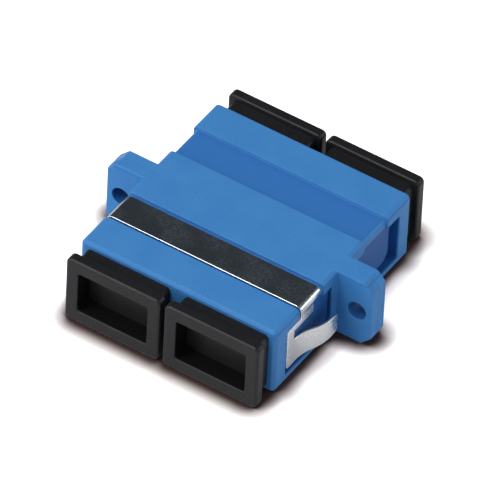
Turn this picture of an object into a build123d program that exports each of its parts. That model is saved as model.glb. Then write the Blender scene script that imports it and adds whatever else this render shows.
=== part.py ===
from build123d import *
import os

# Duplex fibre adapter with a panel flange, a sheet metal panel clip and four dust caps.
# Frame: X runs across the two ports, Y along the fibres with the front end at -Y, Z is up.
# The origin is the middle of the bottom face, in the plane where the two housing halves meet.
# All sizes are millimetres. A distance named "reach" is measured from the parting plane.

# Interface of the connector that each port accepts
port_pitch = 12.7
port_width = 9.0
port_height = 7.4
port_corner_radius = 0.3
port_lead_in = 0.12
key_slot_width = 2.4
key_slot_depth = 0.4
key_slot_length = 7.2
ferrule_diameter = 2.5

# Housing block, the same at the front and the rear
side_wall = 1.85
body_height = 9.0
body_length = 27.0
body_edge_radius = 0.65
body_end_chamfer = 0.4
seam_chamfer = 0.05

# Panel flange, half of it on each housing half
flange_thickness = 2.76
flange_corner_chamfer = 1.15
flange_edge_radius = 0.16
screw_offset = 2.65
screw_hole_diameter = 2.3
screw_edge_distance = 1.9

# Pegs that line the two halves up before they are welded
peg_diameter = 1.2
peg_length = 1.0
peg_spacing = 5.0
peg_clearance = 0.05

# Sheet metal clip and its seat in the top and the sides
sheet_thickness = 0.3
sheet_gap = 0.02
bend_radius = 0.55
seat_near_reach = 4.05
seat_width = 4.7
seat_top_depth = 0.4
strap_width = 3.95
strap_side_play = 0.3
tab_width = 2.5
band_clearance = 0.05
band_height = 0.78
leg_width = 1.35
leg_foot_height = 1.75
tongue_root_top = 5.3
tongue_tip_top = 5.05
tongue_tip_bottom = 2.5
tongue_tip_reach = 3.3
tongue_tip_straight = 0.8
tongue_bulge = 1.5
tongue_corner_radius = 0.3
leg_corner_radius = 0.35

# Pockets in the sides, each around a raised pad that the clip lies on
pocket_depth = 1.25
pocket_near_reach = 2.2
pocket_far_reach = 11.2
pocket_bottom = 1.0
pocket_lip_height = 1.6
pocket_corner_radius = 0.25
pad_near_reach = 2.6
pad_far_reach = 9.55
pad_bottom = 2.1
pad_corner_radius = 1.4

# Inner latch: a plate with a half barrel and two hooks, one for each port and each half
plate_overlap_x = 0.6
plate_overlap_z = 0.3
plate_thickness = 1.25
plate_clearance = 0.05
plate_corner_radius = 0.4
barrel_wall = 0.775
barrel_mouth_length = 0.65
barrel_mouth_clearance = 0.1
barrel_mouth_flare = 0.5
hook_reach = 8.4
hook_height = 3.0
hook_thickness = 0.7
hook_flex_gap = 0.4
hook_barb = 0.65
hook_barb_length = 0.5
hook_ramp_length = 0.9

# Split ceramic sleeve that lines up the two ferrules
sleeve_outer_diameter = 3.2
sleeve_length = 11.4
sleeve_slit = 0.4
sleeve_side_play = 0.075
sleeve_end_play = 0.05

# Dust cap
cap_rim_gap = 0.5
cap_rim_height = 8.9
cap_rim_thickness = 1.3
cap_rim_corner_radius = 0.7
cap_rim_chamfer = 0.25
cap_pocket_chamfer = 0.2
cap_shoulder_width = 10.85
cap_shoulder_height = 7.6
cap_shoulder_length = 1.8
cap_shoulder_corner_radius = 0.6
cap_pocket_width = 9.0
cap_pocket_height = 5.5
cap_pocket_depth = 2.45
cap_pocket_corner_radius = 0.35
cap_floor = 0.9
cap_plug_length = 4.6
cap_plug_wall = 0.9
cap_plug_clearance = 0.05
cap_plug_lead_in = 0.35
cap_plug_corner_chamfer = 0.35

# Sizes worked out from those above
half_length = body_length / 2
body_width = port_pitch + port_width + 2 * side_wall
half_width = body_width / 2
mid_height = body_height / 2
half_flange = flange_thickness / 2
screw_spacing = body_width + 2 * screw_offset
flange_length = screw_spacing + 2 * screw_edge_distance
pocket_top = body_height - pocket_lip_height
seat_far_reach = seat_near_reach + seat_width
seat_floor = body_height - seat_top_depth
seat_inset = sheet_thickness + sheet_gap
strap_foot = seat_floor - bend_radius
barrel_bore_radius = sleeve_outer_diameter / 2 + sleeve_side_play
barrel_bore_reach = sleeve_length / 2 + sleeve_end_play
barrel_reach = barrel_bore_reach + barrel_mouth_length
barrel_radius = barrel_bore_radius + barrel_wall
barrel_mouth_radius = ferrule_diameter / 2 + barrel_mouth_clearance
cap_rim_width = port_pitch - cap_rim_gap
cap_plug_width = port_width - 2 * cap_plug_clearance
cap_plug_height = port_height - 2 * cap_plug_clearance
cap_face_reach = half_length + cap_shoulder_length + cap_rim_thickness
cap_pocket_floor_reach = cap_face_reach - cap_pocket_depth
front_turn = Rot(0, 0, 180)
UNDER_SIDE = (Align.CENTER, Align.MIN, Align.MIN)
ON_AXIS = (Align.CENTER, Align.MIN, Align.CENTER)


def block(width, reach, height, start_reach=0.0, bottom=0.0):
    """A box centred on X that runs from one reach to another above a given height."""
    return Pos(0, start_reach, bottom) * Box(width, reach - start_reach, height, align=UNDER_SIDE)


def bar(width, height, start_reach, reach, corner_radius=0.0):
    """A box about the mid height, with the edges that run along Y rounded."""
    length = reach - start_reach
    solid = Pos(0, start_reach, mid_height) * Box(width, length, height, align=ON_AXIS)
    if corner_radius > 0:
        solid = fillet(solid.edges().filter_by(Axis.Y), corner_radius)
    return solid


def rod(radius, start_reach, reach):
    """A round bar along Y at the mid height."""
    stretch = Plane(origin=(0, start_reach, mid_height), z_dir=(0, 1, 0))
    return extrude(stretch * Circle(radius), amount=reach - start_reach)


def side_slab(outline, outer_x, thickness):
    """Extrudes an outline drawn in reach and height inwards from the side face at outer_x."""
    side = Plane(origin=(outer_x, 0, 0), x_dir=(0, 1, 0), z_dir=(1, 0, 0))
    return extrude(side * outline, amount=-thickness)


def both_sides(solid):
    """The solid and its mirror image on the other side of the middle plane."""
    return [solid, mirror(solid, about=Plane.YZ)]


def at_port(solid, side):
    """Moves a piece modelled on the middle plane to one port."""
    return Pos(side * port_pitch / 2, 0, 0) * solid


def span(start_reach, reach, bottom, top):
    """A rectangle drawn in reach and height."""
    centre = ((start_reach + reach) / 2, (bottom + top) / 2)
    return Pos(*centre) * Rectangle(reach - start_reach, top - bottom)


def body_block():
    """The outside of one housing half, without its flange."""
    solid = block(body_width, half_length, body_height)
    solid = fillet(solid.edges().filter_by(Axis.Y), body_edge_radius)
    end_edges = solid.faces().sort_by(Axis.Y)[-1].edges()
    return chamfer(end_edges, body_end_chamfer)


def flange_half():
    """Half of the panel flange, with its four outer corners cut off."""
    solid = block(flange_length, half_flange, body_height)
    solid = chamfer(solid.edges().filter_by(Axis.Y), flange_corner_chamfer)
    outer_edges = solid.faces().sort_by(Axis.Y)[-1].edges()
    return fillet(outer_edges, flange_edge_radius)


def clip_seat():
    """The groove that the clip wraps around, over the top and down to the side pockets."""
    shell = block(flange_length, seat_far_reach, body_height, seat_near_reach, pocket_top)
    core_width = body_width - 2 * seat_inset
    core = block(core_width, seat_far_reach, seat_floor, seat_near_reach)
    core_edges = core.edges().filter_by(Axis.Y).group_by(Axis.Z)[-1]
    return shell - fillet(core_edges, bend_radius)


def side_pockets():
    """A pocket in each side: deep around the raised pad, shallow over it."""
    pocket = span(pocket_near_reach, pocket_far_reach, pocket_bottom, pocket_top)
    pocket = fillet(pocket.vertices(), pocket_corner_radius)
    pad = span(pad_near_reach, pad_far_reach, pad_bottom, body_height)
    pad = fillet(pad.vertices().group_by(Axis.Y)[0], pad_corner_radius)
    deep = side_slab(pocket - pad, half_width, pocket_depth)
    shallow = side_slab(pocket, half_width, seat_inset)
    return both_sides(deep + shallow)


def port_cut():
    """The opening for one connector, with its key slot and the recess for the latch plate."""
    port = bar(port_width, port_height, 0, half_length, port_corner_radius)
    mouth_width = port_width + 2 * port_lead_in
    mouth_height = port_height + 2 * port_lead_in
    mouth_plane = Plane(origin=(0, half_length, mid_height), z_dir=(0, 1, 0))
    inner_plane = mouth_plane.offset(-port_lead_in)
    mouth = loft([
        inner_plane * Rectangle(port_width, port_height),
        mouth_plane * Rectangle(mouth_width, mouth_height),
    ])
    key_bottom = mid_height - port_height / 2 - key_slot_depth
    key = block(key_slot_width, half_length, mid_height, half_length - key_slot_length, key_bottom)
    recess = bar(
        port_width + 2 * (plate_overlap_x + plate_clearance),
        port_height + 2 * (plate_overlap_z + plate_clearance),
        0,
        plate_thickness + plate_clearance,
    )
    return port + mouth + key + recess


def peg_places():
    """The two places in the middle wall where the halves are pegged together."""
    return [Pos(0, 0, -peg_spacing / 2), Pos(0, 0, peg_spacing / 2)]


def housing_half():
    """One moulded half of the housing, opening towards +Y."""
    half = body_block() + flange_half()
    seam_edges = half.faces().sort_by(Axis.Y)[0].outer_wire().edges()
    half = chamfer(seam_edges, seam_chamfer)
    half -= clip_seat()
    half -= side_pockets()
    for side in (-1, 1):
        half -= at_port(port_cut(), side)
        screw_hole = rod(screw_hole_diameter / 2, 0, half_flange)
        half -= Pos(side * screw_spacing / 2, 0, 0) * screw_hole
    return half


def front_housing():
    """The half that carries the clip, with the pegs on its parting face."""
    half = housing_half()
    for place in peg_places():
        half += place * rod(peg_diameter / 2, -peg_length, peg_length)
    return front_turn * half


def rear_housing():
    """The half with the sockets that the pegs enter."""
    half = housing_half()
    for place in peg_places():
        half -= place * rod(peg_diameter / 2 + peg_clearance, 0, peg_length + peg_clearance)
    return half


def clip_hoop(start_reach, reach, foot):
    """A bent strip over the top of the housing, down to the height of its feet."""
    outer_width = body_width - 2 * seat_inset + 2 * (sheet_gap + sheet_thickness)
    outer_top = seat_floor + sheet_gap + sheet_thickness
    inner_width = outer_width - 2 * sheet_thickness
    inner_top = outer_top - sheet_thickness
    outer = block(outer_width, reach, outer_top - foot, start_reach, foot)
    outer_edges = outer.edges().filter_by(Axis.Y).group_by(Axis.Z)[-1]
    outer = fillet(outer_edges, bend_radius + sheet_thickness)
    inner = block(inner_width, reach, inner_top - foot, start_reach, foot)
    inner_edges = inner.edges().filter_by(Axis.Y).group_by(Axis.Z)[-1]
    return outer - fillet(inner_edges, bend_radius)


def clip_tongue(sheet_x, leg_reach):
    """The sprung tongue of one side, bowed out from the leg towards the flange."""
    bow_reach = tongue_tip_reach + tongue_tip_straight
    middle = Vector(sheet_x - sheet_thickness / 2 + tongue_bulge / 2, (leg_reach + bow_reach) / 2)
    root = Vector(sheet_x - sheet_thickness / 2, leg_reach)
    crest = Vector(root.X + tongue_bulge, bow_reach)
    first_bow = TangentArc(root, middle, tangent=(0, -1))
    second_bow = TangentArc(middle, crest, tangent=first_bow % 1)
    tip = Line(crest, (crest.X, tongue_tip_reach))
    centre_line = Wire([first_bow.edge(), second_bow.edge(), tip.edge()])
    strip = Face(centre_line.offset_2d(sheet_thickness / 2, kind=Kind.TANGENT, side=Side.BOTH))
    strip = extrude(strip, amount=body_height, dir=(0, 0, 1))
    outline = Polygon(
        (leg_reach, leg_foot_height),
        (leg_reach, tongue_root_top),
        (tongue_tip_reach, tongue_tip_top),
        (tongue_tip_reach, tongue_tip_bottom),
        align=None,
    )
    outline = fillet(outline.vertices().group_by(Axis.X)[0], tongue_corner_radius)
    return strip & extrude(Plane.YZ * outline, amount=body_width)


def clip_side(strap_far_reach, sheet_x):
    """The tab, band, leg and tongue on one side, all in one sheet with the strap."""
    leg_far = pocket_far_reach - (pocket_far_reach - pad_far_reach - leg_width) / 2
    leg_near = leg_far - leg_width
    tab_near = strap_far_reach - tab_width
    band_top = pocket_top - band_clearance
    band_bottom = band_top - band_height
    tab = span(tab_near, strap_far_reach, band_bottom, strap_foot)
    band = span(tab_near, leg_far, band_bottom, band_top)
    leg = span(leg_near, leg_far, leg_foot_height, band_top)
    leg_corner = leg.vertices().group_by(Axis.Y)[0].sort_by(Axis.X)[-1]
    leg = fillet(leg_corner, leg_corner_radius)
    flat = side_slab(tab + band + leg, sheet_x, sheet_thickness)
    return flat + clip_tongue(sheet_x, leg_near)


def mounting_clip():
    """The panel clip, stamped and bent from one strip of spring steel."""
    strap_far = seat_far_reach - strap_side_play
    strap_near = strap_far - strap_width
    sheet_x = half_width - seat_inset + sheet_gap + sheet_thickness
    clip = clip_hoop(strap_near, strap_far, strap_foot)
    for side in both_sides(clip_side(strap_far, sheet_x)):
        clip += side
    return front_turn * clip


def latch_hook():
    """The hook on the +X side of the barrel, with its barb towards the axis."""
    outer = port_width / 2 - hook_flex_gap
    inner = outer - hook_thickness
    barb_x = inner - hook_barb
    barb_reach = hook_reach - hook_ramp_length - hook_barb_length
    outline = Polygon(
        (outer, plate_thickness / 2),
        (outer, hook_reach),
        (inner, hook_reach),
        (barb_x, hook_reach - hook_ramp_length),
        (barb_x, barb_reach),
        (inner, barb_reach),
        (inner, plate_thickness / 2),
        align=None,
    )
    return Pos(0, 0, mid_height - hook_height / 2) * extrude(outline, amount=hook_height, dir=(0, 0, 1))


def barrel_mouth():
    """The flared mouth that guides a ferrule into the sleeve."""
    inner_plane = Plane(origin=(0, barrel_bore_reach, mid_height), z_dir=(0, 1, 0))
    outer_plane = inner_plane.offset(barrel_mouth_length)
    return loft([
        inner_plane * Circle(barrel_mouth_radius),
        outer_plane * Circle(barrel_mouth_radius + barrel_mouth_flare),
    ])


def inner_latch():
    """The latch of one port in one half: plate, half barrel and two hooks in one moulding."""
    latch = bar(
        port_width + 2 * plate_overlap_x,
        port_height + 2 * plate_overlap_z,
        0,
        plate_thickness,
        plate_corner_radius,
    )
    latch += rod(barrel_radius, 0, barrel_reach)
    for hook in both_sides(latch_hook()):
        latch += hook
    latch -= rod(barrel_bore_radius, 0, barrel_bore_reach)
    latch -= barrel_mouth()
    return latch


def split_sleeve():
    """The alignment sleeve, slit along its top so that it grips both ferrules."""
    sleeve = rod(sleeve_outer_diameter / 2, -sleeve_length / 2, sleeve_length / 2)
    sleeve -= rod(ferrule_diameter / 2, -sleeve_length / 2, sleeve_length / 2)
    slit_height = sleeve_outer_diameter
    slit = block(sleeve_slit, sleeve_length / 2, slit_height, -sleeve_length / 2, mid_height)
    return sleeve - slit


def dust_cap():
    """One dust cap: a recessed rim, a shoulder on the end face and a hollow plug in the port."""
    rim_start = half_length + cap_shoulder_length
    rim = bar(cap_rim_width, cap_rim_height, rim_start, cap_face_reach, cap_rim_corner_radius)
    cap = chamfer(rim.faces().sort_by(Axis.Y)[-1].edges(), cap_rim_chamfer)
    cap += bar(
        cap_shoulder_width,
        cap_shoulder_height,
        half_length,
        rim_start,
        cap_shoulder_corner_radius,
    )
    plug_reach = half_length - cap_plug_length
    plug = bar(cap_plug_width, cap_plug_height, plug_reach, half_length)
    plug = chamfer(plug.edges().filter_by(Axis.Y), cap_plug_corner_chamfer)
    cap += chamfer(plug.faces().sort_by(Axis.Y)[0].edges(), cap_plug_lead_in)
    cap -= bar(
        cap_pocket_width,
        cap_pocket_height,
        cap_pocket_floor_reach,
        cap_face_reach,
        cap_pocket_corner_radius,
    )
    window = cap.faces().sort_by(Axis.Y)[-1].inner_wires()[0].edges()
    cap = chamfer(window, cap_pocket_chamfer)
    cap -= bar(
        cap_plug_width - 2 * cap_plug_wall,
        cap_plug_height - 2 * cap_plug_wall,
        plug_reach,
        cap_pocket_floor_reach - cap_floor,
    )
    return cap


def build_parts():
    """Every piece in its place, by the name of its node."""
    parts = {
        "front_housing": front_housing(),
        "rear_housing": rear_housing(),
        "mounting_clip": mounting_clip(),
    }
    for side_name, side in (("left", -1), ("right", 1)):
        parts["front_latch_" + side_name] = at_port(front_turn * inner_latch(), side)
        parts["rear_latch_" + side_name] = at_port(inner_latch(), side)
        parts["sleeve_" + side_name] = at_port(split_sleeve(), side)
        parts["front_cap_" + side_name] = at_port(front_turn * dust_cap(), side)
        parts["rear_cap_" + side_name] = at_port(dust_cap(), side)
    return parts


os.makedirs("parts", exist_ok=True)
for node, solid in build_parts().items():
    export_step(solid, os.path.join("parts", node + ".step"))
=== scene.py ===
"""Looks of a duplex fibre adapter: soft edges, a bent clip, dust caps, finishes, table, light and camera."""
import logging
import math
from contextlib import contextmanager
from dataclasses import dataclass, field
from enum import Enum
from itertools import pairwise
from typing import Callable, Iterator

import bmesh
import bpy
from mathutils import Matrix, Vector


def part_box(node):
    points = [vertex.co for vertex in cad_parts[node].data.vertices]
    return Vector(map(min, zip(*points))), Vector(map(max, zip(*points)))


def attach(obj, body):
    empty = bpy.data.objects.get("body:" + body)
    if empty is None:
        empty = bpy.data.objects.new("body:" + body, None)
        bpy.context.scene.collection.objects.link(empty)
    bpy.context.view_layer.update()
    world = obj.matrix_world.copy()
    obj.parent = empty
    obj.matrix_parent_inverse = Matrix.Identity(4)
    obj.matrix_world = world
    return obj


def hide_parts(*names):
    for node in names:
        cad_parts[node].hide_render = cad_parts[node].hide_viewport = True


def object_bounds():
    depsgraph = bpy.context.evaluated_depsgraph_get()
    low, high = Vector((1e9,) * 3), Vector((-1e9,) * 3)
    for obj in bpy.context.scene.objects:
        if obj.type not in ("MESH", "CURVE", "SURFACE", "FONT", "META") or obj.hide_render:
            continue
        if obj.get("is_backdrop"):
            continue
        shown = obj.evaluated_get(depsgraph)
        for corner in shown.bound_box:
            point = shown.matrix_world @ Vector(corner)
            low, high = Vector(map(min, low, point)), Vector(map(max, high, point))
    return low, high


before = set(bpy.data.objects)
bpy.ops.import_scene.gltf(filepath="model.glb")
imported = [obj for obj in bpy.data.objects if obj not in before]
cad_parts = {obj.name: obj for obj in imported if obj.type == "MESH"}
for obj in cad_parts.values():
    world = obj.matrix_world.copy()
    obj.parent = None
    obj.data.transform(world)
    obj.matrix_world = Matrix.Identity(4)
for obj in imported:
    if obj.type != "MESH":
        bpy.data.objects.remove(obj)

MM = 0.001
ADAPTER_BODY = "adapter"
WELD_DISTANCE = 0.001 * MM
PORT_OFFSET_MM = 6.35
MID_HEIGHT_MM = 4.5

Colour = tuple[float, float, float]
Place = tuple[float, float, float]
Span = tuple[float, float]
Socket = bpy.types.NodeSocket
FaceTest = Callable[[bmesh.types.BMFace], bool]
EdgeTest = Callable[[bmesh.types.BMEdge], bool]

WHITE: Colour = (1.0, 1.0, 1.0)
log = logging.getLogger("fibre_adapter")


class End(Enum):
    """The two ends of the adapter, each with the way that it faces along Y."""

    FRONT = -1
    REAR = 1

    @property
    def word(self) -> str:
        """The word that the names of this end's pieces start with."""
        return self.name.lower()


class Side(Enum):
    """The two ports, each with the word that the names of its pieces end with."""

    LEFT = "left"
    RIGHT = "right"


class Element(Enum):
    """What an edit mode selection is made of."""

    FACE = "FACE"
    EDGE = "EDGE"
    VERT = "VERT"


def clear_selection() -> None:
    """Deselects every object."""
    if bpy.context.mode != "OBJECT":
        bpy.ops.object.mode_set(mode="OBJECT")
    bpy.ops.object.select_all(action="DESELECT")


class Bench:
    """One mesh on the bench, shaped with edit mode operators and finished with modifiers."""

    crease_deg: float = 40.0
    flat_deg: float = 0.4

    def __init__(self, piece: bpy.types.Object) -> None:
        """Takes a piece on the bench.

        Args:
            piece: The mesh object to shape, at the origin, unturned and unscaled.
        """
        self.piece = piece
        clear_selection()
        piece.select_set(True)
        bpy.context.view_layer.objects.active = piece

    @classmethod
    def from_block(cls, name: str, lowest: Vector, highest: Vector) -> "Bench":
        """Starts a piece from a block.

        Args:
            name: The new piece's name.
            lowest: The block's lowest corner in metres.
            highest: The block's highest corner in metres.

        Returns:
            The bench with the block on it.
        """
        clear_selection()
        bpy.ops.mesh.primitive_cube_add(size=1.0, location=(lowest + highest) / 2)
        return cls.sized(name, highest - lowest)

    @classmethod
    def from_sheet(cls, name: str, lowest: Vector, highest: Vector) -> "Bench":
        """Starts a piece from a level sheet without thickness.

        Args:
            name: The new piece's name.
            lowest: One corner in metres.
            highest: The opposite corner, at the same height.

        Returns:
            The bench with the sheet on it.
        """
        clear_selection()
        bpy.ops.mesh.primitive_plane_add(size=1.0, location=(lowest + highest) / 2)
        spread = highest - lowest
        return cls.sized(name, Vector((spread.x, spread.y, 1.0)))

    @classmethod
    def sized(cls, name: str, spread: Vector) -> "Bench":
        """Names the new primitive and gives it its size.

        Args:
            name: The piece's name.
            spread: Its length along each axis in metres.

        Returns:
            The bench with the primitive on it.
        """
        piece = bpy.context.active_object
        piece.name = name
        piece.data.name = name
        piece.scale = spread
        bpy.ops.object.transform_apply(location=True, rotation=False, scale=True)
        return cls(piece)

    @classmethod
    def from_node(cls, name: str, node: str) -> "Bench":
        """Starts a piece from a copy of a construction node, welded and without flat seams.

        Args:
            name: The new piece's name.
            node: The node whose form the piece takes.

        Returns:
            The bench with the copy on it.
        """
        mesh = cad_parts[node].data.copy()
        mesh.name = name
        mesh.materials.clear()
        piece = bpy.data.objects.new(name, mesh)
        bpy.context.scene.collection.objects.link(piece)
        bench = cls(piece)
        if mesh.has_custom_normals:
            bpy.ops.mesh.customdata_custom_splitnormals_clear()
        with bench.opened():
            bench.merge_flats()
        return bench

    @contextmanager
    def opened(self) -> Iterator[None]:
        """Keeps the mesh open for editing while a block of steps runs."""
        bpy.ops.object.mode_set(mode="EDIT")
        yield
        bpy.ops.object.mode_set(mode="OBJECT")

    def pick(self, kind: Element, test: Callable[..., bool]) -> None:
        """Selects the faces, edges or corners that pass a test, and nothing else.

        Args:
            kind: What is tested.
            test: Says whether one element is wanted.
        """
        bpy.ops.mesh.select_mode(type=kind.value)
        bpy.ops.mesh.select_all(action="DESELECT")
        mesh = bmesh.from_edit_mesh(self.piece.data)
        elements = {Element.FACE: mesh.faces, Element.EDGE: mesh.edges, Element.VERT: mesh.verts}[kind]
        wanted = [element for element in elements if test(element)]
        if not wanted:
            raise ValueError(f"nothing on {self.piece.name} passes the test")
        for element in wanted:
            element.select_set(True)
        bmesh.update_edit_mesh(self.piece.data)

    def pick_edge(self, first: Vector, second: Vector) -> None:
        """Selects the one edge between two places.

        Args:
            first: One end in metres.
            second: The other end.
        """
        def test(edge: bmesh.types.BMEdge) -> bool:
            """Says whether an edge has its two ends at the two places."""
            ends = [vertex.co for vertex in edge.verts]
            return any(
                (start - first).length < WELD_DISTANCE and (stop - second).length < WELD_DISTANCE
                for start, stop in (ends, ends[::-1])
            )

        self.pick(Element.EDGE, test)

    def merge_flats(self) -> None:
        """Welds corners that lie together and merges faces that lie in one plane."""
        bpy.ops.mesh.select_mode(type=Element.VERT.value)
        bpy.ops.mesh.select_all(action="SELECT")
        bpy.ops.mesh.remove_doubles(threshold=WELD_DISTANCE)
        bpy.ops.mesh.dissolve_limited(angle_limit=math.radians(self.flat_deg))

    def extrude(self, move: Vector) -> None:
        """Extrudes what is picked."""
        bpy.ops.mesh.extrude_region_move(TRANSFORM_OT_translate={"value": tuple(move)})

    def shift(self, move: Vector) -> None:
        """Moves what is picked."""
        bpy.ops.transform.translate(value=tuple(move))

    def resize(self, factors: Vector, centre: Vector) -> None:
        """Scales what is picked about a centre."""
        bpy.ops.transform.resize(value=tuple(factors), center_override=tuple(centre))

    def round_picked(self, radius: float, segments: int, affect: str = "EDGES") -> None:
        """Rounds what is picked.

        Args:
            radius: The radius of the rounding in metres.
            segments: How many faces each rounding has.
            affect: Whether edges or the corners of a sheet are rounded.
        """
        bpy.ops.mesh.bevel(
            offset=radius, offset_type="OFFSET", segments=segments, profile=0.5,
            affect=affect, clamp_overlap=False,
        )

    def soften(self, radius: float, segments: int, sharp_deg: float,
               wanted: EdgeTest = lambda edge: True) -> None:
        """Rounds the edges that are sharper than an angle.

        Args:
            radius: The radius of the rounding in metres.
            segments: How many faces each rounding has.
            sharp_deg: The least angle between two faces that counts as sharp.
            wanted: Says which of those edges are rounded.
        """
        least = math.radians(sharp_deg)

        def test(edge: bmesh.types.BMEdge) -> bool:
            """Says whether an edge is sharp and wanted."""
            return edge.is_manifold and edge.calc_face_angle() > least and wanted(edge)

        with self.opened():
            self.pick(Element.EDGE, test)
            self.round_picked(radius, segments)

    def apply(self, kind: str, **settings: float | bool | str | tuple[bool, bool, bool]) -> None:
        """Adds a modifier with its settings and applies it.

        Args:
            kind: The modifier's type.
            settings: Its settings by name.
        """
        modifier = self.piece.modifiers.new(kind.lower(), kind)
        for name, value in settings.items():
            setattr(modifier, name, value)
        bpy.ops.object.modifier_apply(modifier=modifier.name)

    def even_shading(self) -> None:
        """Shades the piece smooth, with its flat faces kept flat."""
        bpy.ops.object.shade_smooth_by_angle(angle=math.radians(self.crease_deg))
        self.apply("WEIGHTED_NORMAL", weight=100, keep_sharp=True)


class NodeGraph:
    """A tree of shader nodes, with the sums and blends that the finishes and the room share."""

    def __init__(self, tree: bpy.types.NodeTree) -> None:
        """Empties a tree to fill it.

        Args:
            tree: The node tree of a material or of the world.
        """
        self.tree = tree
        self.tree.nodes.clear()

    def add(self, kind: str) -> bpy.types.Node:
        """Adds a node of a kind."""
        return self.tree.nodes.new(kind)

    def join(self, source: Socket, target: Socket) -> None:
        """Links two sockets."""
        self.tree.links.new(source, target)

    def feed(self, value: Socket | Colour | float, target: Socket) -> None:
        """Gives an input a link, a colour or a number.

        Args:
            value: What to give it.
            target: The input.
        """
        if isinstance(value, Socket):
            self.join(value, target)
        elif isinstance(value, tuple):
            target.default_value = (*value, 1.0)
        else:
            target.default_value = value

    def axes(self, vector: Socket) -> list[Socket]:
        """Parts a vector into its X, Y and Z.

        Args:
            vector: The vector to part.

        Returns:
            The three values.
        """
        split = self.add("ShaderNodeSeparateXYZ")
        self.join(vector, split.inputs["Vector"])
        return [split.outputs[axis] for axis in "XYZ"]

    def ranged(self, value: Socket, source: Span, target: Span, smooth: bool = False) -> Socket:
        """Maps one range of a value to another, with the ends held.

        Args:
            value: The value to map.
            source: Where the value starts and ends.
            target: What those become.
            smooth: Whether the change eases in and out.

        Returns:
            The mapped value.
        """
        mapped = self.add("ShaderNodeMapRange")
        mapped.interpolation_type = "SMOOTHSTEP" if smooth else "LINEAR"
        mapped.inputs["From Min"].default_value, mapped.inputs["From Max"].default_value = source
        mapped.inputs["To Min"].default_value, mapped.inputs["To Max"].default_value = target
        self.join(value, mapped.inputs["Value"])
        return mapped.outputs["Result"]

    def between(self, value: Socket, limits: Span, ease: float) -> Socket:
        """Says how far a value lies between two limits.

        Args:
            value: The value.
            limits: The lower and the upper limit.
            ease: How far inside the limits the share is full.

        Returns:
            The share, from 0 to 1.
        """
        low, high = limits
        rising = self.ranged(value, (low, low + ease), (0.0, 1.0))
        return self.product(rising, self.ranged(value, (high - ease, high), (1.0, 0.0)))

    def computed(self, operation: str, first: Socket | float, second: Socket | float = 0.0) -> Socket:
        """Does one sum.

        Args:
            operation: The name of the sum.
            first: A number or a socket.
            second: A number or a socket.

        Returns:
            The result.
        """
        sum_node = self.add("ShaderNodeMath")
        sum_node.operation = operation
        for index, operand in enumerate((first, second)):
            self.feed(operand, sum_node.inputs[index])
        return sum_node.outputs["Value"]

    def product(self, first: Socket, *others: Socket | float) -> Socket:
        """Multiplies values together.

        Args:
            first: A socket.
            others: Numbers or sockets.

        Returns:
            The product.
        """
        result = first
        for other in others:
            result = self.computed("MULTIPLY", result, other)
        return result

    def blended(self, share: Socket, first: Socket | Colour, second: Socket | Colour,
                data: str = "RGBA", kind: str = "RGBA") -> Socket:
        """Blends two colours, or two values of another kind.

        Args:
            share: How much of the second one shows.
            first: A colour or a socket.
            second: A colour or a socket.
            data: What the blending node works on.
            kind: The type that its sockets for such data have.

        Returns:
            The blend.
        """
        mixer = self.add("ShaderNodeMix")
        mixer.data_type = data
        self.join(share, mixer.inputs["Factor"])
        for value, name in ((first, "A"), (second, "B")):
            self.feed(value, next(s for s in mixer.inputs if s.name == name and s.type == kind))
        return next(s for s in mixer.outputs if s.type == kind)


class FinishGraph(NodeGraph):
    """The shader nodes of one finish, on object coordinates in millimetres."""

    def __init__(self, name: str) -> None:
        """Starts a finish with one surface shader.

        Args:
            name: The material's name.
        """
        self.material = bpy.data.materials.new(name)
        self.material.use_nodes = True
        super().__init__(self.material.node_tree)
        shader = self.add("ShaderNodeBsdfPrincipled")
        output = self.add("ShaderNodeOutputMaterial")
        self.join(shader.outputs["BSDF"], output.inputs["Surface"])
        self.inputs = shader.inputs
        self.object_place = self.add("ShaderNodeTexCoord").outputs["Object"]
        self.place = self.stretched((1.0, 1.0, 1.0))
        self.x, self.y, self.z = self.axes(self.place)

    def stretched(self, per_mm: Place) -> Socket:
        """Gives the place in millimetres, times a factor along each axis.

        Args:
            per_mm: The factor along X, Y and Z.

        Returns:
            The stretched place.
        """
        mapping = self.add("ShaderNodeMapping")
        mapping.inputs["Scale"].default_value = tuple(factor / MM for factor in per_mm)
        self.join(self.object_place, mapping.inputs["Vector"])
        return mapping.outputs["Vector"]

    def noise(self, per_mm: float, detail: float = 3.0, place: Socket | None = None) -> Socket:
        """Adds a cloud pattern.

        Args:
            per_mm: How many blots there are to a millimetre.
            detail: How many finer layers the pattern has.
            place: The coordinates that it reads, or None for plain millimetres.

        Returns:
            The pattern's value, from 0 to 1.
        """
        pattern = self.add("ShaderNodeTexNoise")
        pattern.inputs["Scale"].default_value = per_mm
        pattern.inputs["Detail"].default_value = detail
        self.join(place or self.place, pattern.inputs["Vector"])
        return pattern.outputs["Fac"]

    def relief(self, height: Socket, depth_mm: float, strength: float, below: Socket | None = None) -> Socket:
        """Turns a height pattern into relief.

        Args:
            height: The pattern.
            depth_mm: How deep it goes.
            strength: How much of it shows.
            below: A coarser relief that this one lies on.

        Returns:
            The surface's normal.
        """
        bump = self.add("ShaderNodeBump")
        bump.inputs["Strength"].default_value = strength
        bump.inputs["Distance"].default_value = depth_mm * MM
        self.join(height, bump.inputs["Height"])
        if below is not None:
            self.join(below, bump.inputs["Normal"])
        return bump.outputs["Normal"]


@dataclass(frozen=True)
class Finish:
    """One finish, with the name that the record's slot and the material share."""

    name: str

    def dress(self, graph: FinishGraph) -> None:
        """Feeds the inputs of the surface shader.

        Args:
            graph: The nodes of this finish.
        """
        raise NotImplementedError

    def build(self) -> bpy.types.Material:
        """Builds the material.

        Returns:
            The finished material.
        """
        graph = FinishGraph(self.name)
        self.dress(graph)
        return graph.material


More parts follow.
